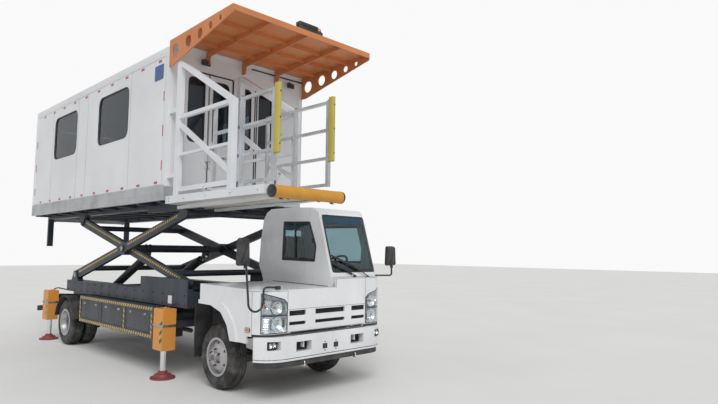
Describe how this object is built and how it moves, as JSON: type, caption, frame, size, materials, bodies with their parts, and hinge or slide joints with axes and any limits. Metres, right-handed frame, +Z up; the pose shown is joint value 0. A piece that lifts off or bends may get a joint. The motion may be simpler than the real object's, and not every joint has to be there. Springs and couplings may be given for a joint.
{
  "type": "aircraft passenger lift truck",
  "caption": "Light truck with a half cab, scissor lift, raised van body, railed boarding platform under an orange canopy, and ground jacks.",
  "frame": {"origin": "on the ground, below the middle of the whole length and width", "axes": "+X to the front of the truck, +Y to its left, +Z up"},
  "size_m": [8.346, 2.707, 4.815],
  "materials": {
    "frame_black": "satin chassis paint",
    "lift_navy": "satin dark paint",
    "body_white": "gloss white paint",
    "rim_silver": "silver wheel paint",
    "jack_orange": "orange paint",
    "canopy_orange": "orange sheet",
    "roll_yellow": "yellow-orange foam roll",
    "tyre_black": "tyre rubber",
    "guard_black": "matt black plastic",
    "seat_cloth": "black woven cloth",
    "steel_grey": "worn steel",
    "rod_chrome": "chromed rod",
    "aluminium": "plain aluminium",
    "lamp_clear": "clear lamp lens",
    "window_glass": "tinted glass"
  },
  "bodies": {
    "root": {"chassis_frame": "frame_black", "front_axle": "frame_black", "rear_axle": "frame_black", "powertrain": "steel_grey", "side_cabinets": "lift_navy", "lift_base": "lift_navy", "roller_tracks": "lift_navy", "jack_arms": "lift_navy", "jack_boxes": "jack_orange", "mudguards": "guard_black", "front_bumper": "body_white", "valance": "guard_black", "front_panel": "body_white", "headlamps": "lamp_clear", "engine_deck": "body_white", "cab_shell": "body_white", "cab_glass": "window_glass", "cab_interior": "guard_black", "cab_seat": "seat_cloth", "mirrors": "guard_black"},
    "knuckle_right": {"knuckle_right": "frame_black"},
    "knuckle_left": {"knuckle_left": "frame_black"},
    "tie_rod": {"tie_rod": "steel_grey"},
    "wheel_front_right": {"tyre_front_right": "tyre_black", "rim_front_right": "rim_silver"},
    "wheel_front_left": {"tyre_front_left": "tyre_black", "rim_front_left": "rim_silver"},
    "wheels_rear_right": {"tyres_rear_right": "tyre_black", "rims_rear_right": "rim_silver"},
    "wheels_rear_left": {"tyres_rear_left": "tyre_black", "rims_rear_left": "rim_silver"},
    "cab_door": {"cab_door": "body_white"},
    "outer_arms": {"outer_arms": "lift_navy"},
    "inner_arms": {"inner_arms": "lift_navy"},
    "cylinder_barrels": {"cylinder_barrels": "frame_black"},
    "cylinder_rods": {"cylinder_rods": "rod_chrome"},
    "van": {"van_underframe": "lift_navy", "rear_posts": "lift_navy", "van_shell": "body_white", "side_rails": "aluminium", "van_windows": "window_glass", "front_platform": "body_white", "bumper_roll": "roll_yellow", "canopy": "canopy_orange", "canopy_lights": "guard_black", "rear_shutter": "aluminium"},
    "door_leaf_right": {"door_leaf_right": "body_white"},
    "door_leaf_left": {"door_leaf_left": "body_white"},
    "handrail_right": {"handrail_right": "aluminium"},
    "handrail_left": {"handrail_left": "aluminium"},
    "jack_leg_front_right": {"jack_leg_front_right": "rod_chrome"},
    "jack_leg_front_left": {"jack_leg_front_left": "rod_chrome"},
    "jack_leg_rear_right": {"jack_leg_rear_right": "rod_chrome"},
    "jack_leg_rear_left": {"jack_leg_rear_left": "rod_chrome"},
    "tail_lift_carriage": {"tail_lift_carriage": "aluminium"},
    "tail_lift_platform": {"tail_lift_platform": "aluminium"}
  },
  "joints": [
    {"name": "steer_right", "type": "hinge", "parent": "root", "child": "knuckle_right", "pos_m": [2.737, -0.655, 0.4], "axis": [0, 0, 1], "range_deg": [-35, 35]},
    {"name": "steer_left", "type": "hinge", "parent": "root", "child": "knuckle_left", "pos_m": [2.737, 0.655, 0.4], "axis": [0, 0, 1], "range_deg": [-36, 36]},
    {"name": "tie_rod_pivot", "type": "hinge", "parent": "knuckle_right", "child": "tie_rod", "pos_m": [2.572, -0.655, 0.295], "axis": [0, 0, 1], "range_deg": [-36, 36]},
    {"name": "spin_front_right", "type": "hinge", "parent": "knuckle_right", "child": "wheel_front_right", "pos_m": [2.737, -0.806, 0.4], "axis": [0, 1, 0], "continuous": true},
    {"name": "spin_front_left", "type": "hinge", "parent": "knuckle_left", "child": "wheel_front_left", "pos_m": [2.737, 0.806, 0.4], "axis": [0, 1, 0], "continuous": true},
    {"name": "spin_rear_right", "type": "hinge", "parent": "root", "child": "wheels_rear_right", "pos_m": [-2.093, -0.8695, 0.4], "axis": [0, 1, 0], "continuous": true},
    {"name": "spin_rear_left", "type": "hinge", "parent": "root", "child": "wheels_rear_left", "pos_m": [-2.093, 0.8695, 0.4], "axis": [0, 1, 0], "continuous": true},
    {"name": "cab_door_hinge", "type": "hinge", "parent": "root", "child": "cab_door", "pos_m": [3.454, 1.0293, 1.4], "axis": [0, 0, -1], "range_deg": [0, 65]},
    {"name": "lift", "type": "hinge", "parent": "root", "child": "outer_arms", "pos_m": [-2.043, 0, 1.255], "axis": [0, -1, 0], "range_deg": [-9.8, 30.2]},
    {"name": "inner_arms_pivot", "type": "hinge", "parent": "outer_arms", "child": "inner_arms", "pos_m": [-0.06674, 0, 1.74042], "axis": [0, -1, 0], "range_deg": [-61.4, 20.6]},
    {"name": "van_pivot", "type": "hinge", "parent": "inner_arms", "child": "van", "pos_m": [-2.043, 0, 2.22583], "axis": [0, -1, 0], "range_deg": [-10.8, 31.2]},
    {"name": "cylinder_foot", "type": "hinge", "parent": "root", "child": "cylinder_barrels", "pos_m": [-1.843, 0, 0.835], "axis": [0, -1, 0], "range_deg": [-11.44, 33.16]},
    {"name": "cylinder_stroke", "type": "slide", "parent": "cylinder_barrels", "child": "cylinder_rods", "axis": [0.9131, 0, 0.4077], "range_m": [-0.0596, 0.1753]},
    {"name": "door_right_hinge", "type": "hinge", "parent": "van", "child": "door_leaf_right", "pos_m": [1.68, -0.949, 3.3], "axis": [0, 0, 1], "range_deg": [0, 85]},
    {"name": "door_left_hinge", "type": "hinge", "parent": "van", "child": "door_leaf_left", "pos_m": [1.68, -0.151, 3.3], "axis": [0, 0, -1], "range_deg": [0, 85]},
    {"name": "handrail_right_slide", "type": "slide", "parent": "van", "child": "handrail_right", "axis": [-1, 0, 0], "range_m": [0, 0.5]},
    {"name": "handrail_left_slide", "type": "slide", "parent": "van", "child": "handrail_left", "axis": [-1, 0, 0], "range_m": [0, 0.5]},
    {"name": "jack_front_right", "type": "slide", "parent": "root", "child": "jack_leg_front_right", "axis": [0, 0, 1], "range_m": [0, 0.25]},
    {"name": "jack_front_left", "type": "slide", "parent": "root", "child": "jack_leg_front_left", "axis": [0, 0, 1], "range_m": [0, 0.25]},
    {"name": "jack_rear_right", "type": "slide", "parent": "root", "child": "jack_leg_rear_right", "axis": [0, 0, 1], "range_m": [0, 0.25]},
    {"name": "jack_rear_left", "type": "slide", "parent": "root", "child": "jack_leg_rear_left", "axis": [0, 0, 1], "range_m": [0, 0.25]},
    {"name": "tail_lift_slide", "type": "slide", "parent": "van", "child": "tail_lift_carriage", "axis": [0, 0, -1], "range_m": [0, 0.5]},
    {"name": "tail_lift_fold", "type": "hinge", "parent": "tail_lift_carriage", "child": "tail_lift_platform", "pos_m": [-4.145, 0, 2.35], "axis": [0, -1, 0], "range_deg": [0, 90]}
  ],
  "couplings": [
    {"joint": "steer_left", "follows": "steer_right", "ratio": 1},
    {"joint": "tie_rod_pivot", "follows": "steer_right", "ratio": -1},
    {"joint": "inner_arms_pivot", "follows": "lift", "ratio": -2},
    {"joint": "van_pivot", "follows": "lift", "ratio": 1},
    {"joint": "cylinder_foot", "follows": "lift", "ratio": 1.065},
    {"joint": "cylinder_stroke", "follows": "lift", "m_per_rad": 0.325}
  ]
}
